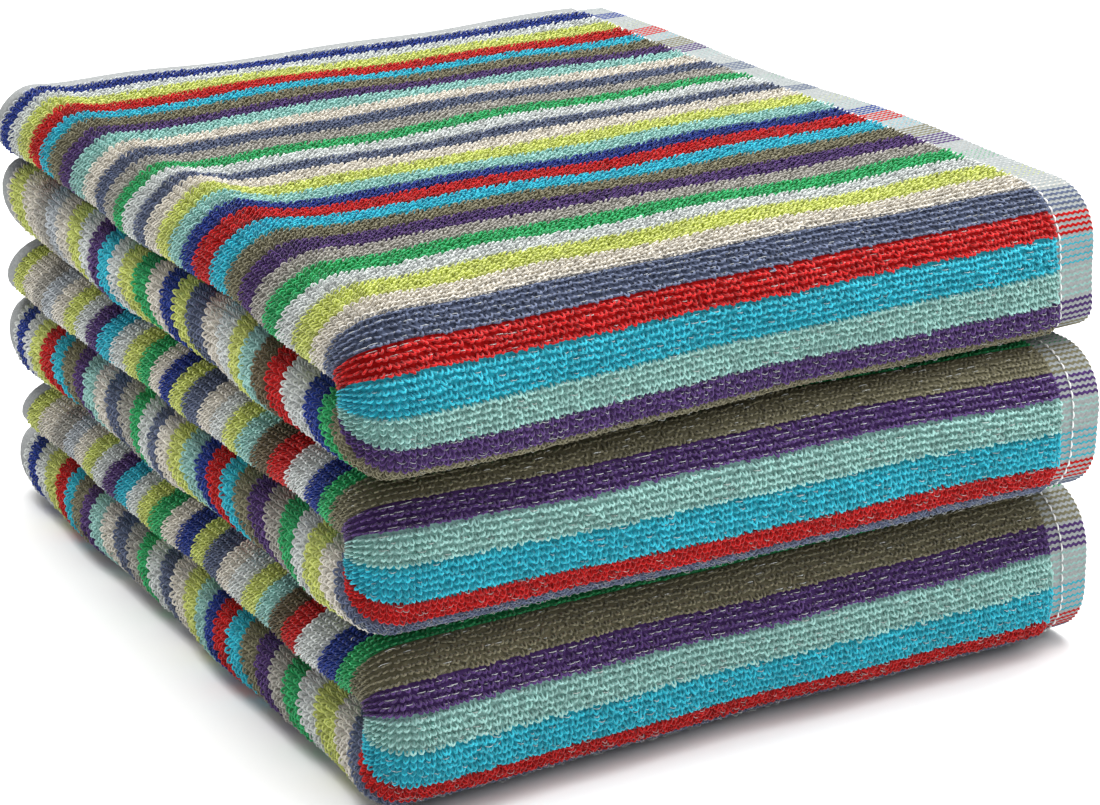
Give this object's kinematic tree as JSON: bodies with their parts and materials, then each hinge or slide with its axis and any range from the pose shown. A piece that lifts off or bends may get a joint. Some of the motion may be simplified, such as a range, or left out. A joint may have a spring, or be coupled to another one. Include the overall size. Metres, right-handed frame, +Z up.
{
  "type": "folded towel stack",
  "caption": "Striped terry towels, each folded into a flat square pack with its hems at one side, stacked on one another and free to be lifted off.",
  "frame": {"origin": "middle of the stack's footprint, on the floor under the bottom towel", "axes": "+Z up, -Y towards the rounded front folds, +X towards the sewn hems"},
  "size_m": [0.221, 0.261, 0.1261],
  "materials": {
    "terry": "looped cotton pile in narrow coloured stripes along the cloth",
    "hem_band": "flat ribbed cotton, the stripes thinned to fine coloured lines on pale grey",
    "selvedge": "flat light grey cotton weave",
    "sewing_thread": "white twisted thread, lockstitched"
  },
  "bodies": {
    "bottom_towel": {"bottom_towel_cloth": "terry", "bottom_towel_outer_hem": "hem_band", "bottom_towel_outer_hem_seam": "sewing_thread", "bottom_towel_inner_hem": "hem_band", "bottom_towel_inner_hem_seam": "sewing_thread", "bottom_towel_upper_selvedge": "selvedge", "bottom_towel_lower_selvedge": "selvedge"},
    "middle_towel": {"middle_towel_cloth": "terry", "middle_towel_outer_hem": "hem_band", "middle_towel_outer_hem_seam": "sewing_thread", "middle_towel_inner_hem": "hem_band", "middle_towel_inner_hem_seam": "sewing_thread", "middle_towel_upper_selvedge": "selvedge", "middle_towel_lower_selvedge": "selvedge"},
    "top_towel": {"top_towel_cloth": "terry", "top_towel_outer_hem": "hem_band", "top_towel_outer_hem_seam": "sewing_thread", "top_towel_inner_hem": "hem_band", "top_towel_inner_hem_seam": "sewing_thread", "top_towel_upper_selvedge": "selvedge", "top_towel_lower_selvedge": "selvedge"}
  },
  "joints": [
    {"name": "middle_lift", "type": "slide", "parent": "bottom_towel", "child": "middle_towel", "axis": [0, 0, 1], "range_m": [0, 0.12]},
    {"name": "top_lift", "type": "slide", "parent": "middle_towel", "child": "top_towel", "axis": [0, 0, 1], "range_m": [0, 0.12]}
  ]
}
